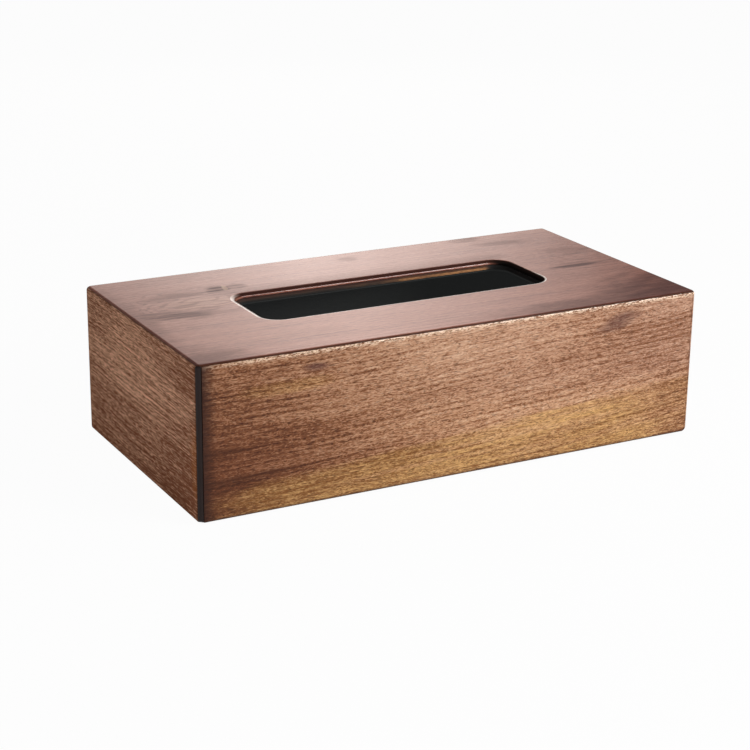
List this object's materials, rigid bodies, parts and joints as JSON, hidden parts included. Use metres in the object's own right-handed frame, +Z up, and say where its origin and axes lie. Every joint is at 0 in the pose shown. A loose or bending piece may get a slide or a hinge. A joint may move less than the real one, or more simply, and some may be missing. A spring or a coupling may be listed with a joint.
{
  "type": "tissue box cover",
  "caption": "Low rectangular wooden tissue box cover with mitred boards, dark upright corner beads, a long rounded slot in the top and a lift-off base.",
  "frame": {"origin": "middle of the footprint, on the table that the pads stand on", "axes": "+X along the long side, with the pictured long face towards -Y and +Y at the back; +Z up, the way the cover lifts"},
  "size_m": [0.25, 0.13, 0.07],
  "materials": {
    "walnut": "brown walnut under satin lacquer, grain along each board",
    "black_lacquer": "smooth black, semi-gloss",
    "core_wood": "plain golden fibreboard",
    "black_flock": "black flocked sheet",
    "ledge_wood": "softwood strip stained black",
    "nickel": "bright nickel plate",
    "base_paint": "fibreboard painted satin black",
    "felt": "black felt"
  },
  "bodies": {
    "base": {"base_board": "base_paint", "base_lining": "black_flock", "base_magnet_front_left": "nickel", "base_magnet_front_right": "nickel", "base_magnet_back_left": "nickel", "base_magnet_back_right": "nickel", "pad_front_left": "felt", "pad_front_right": "felt", "pad_back_left": "felt", "pad_back_right": "felt"},
    "cover": {"top_panel": "walnut", "front_panel": "walnut", "back_panel": "walnut", "left_panel": "walnut", "right_panel": "walnut", "corner_bead_front_left": "black_lacquer", "corner_bead_front_right": "black_lacquer", "corner_bead_back_left": "black_lacquer", "corner_bead_back_right": "black_lacquer", "core_top": "core_wood", "core_front": "core_wood", "core_back": "core_wood", "core_left": "core_wood", "core_right": "core_wood", "lining_top": "black_flock", "lining_front": "black_flock", "lining_back": "black_flock", "lining_left": "black_flock", "lining_right": "black_flock", "ledge_left": "ledge_wood", "ledge_right": "ledge_wood", "ledge_magnet_front_left": "nickel", "ledge_magnet_front_right": "nickel", "ledge_magnet_back_left": "nickel", "ledge_magnet_back_right": "nickel"}
  },
  "joints": [
    {"name": "cover_lift", "type": "slide", "parent": "base", "child": "cover", "axis": [0, 0, 1], "range_m": [0, 0.08]}
  ]
}
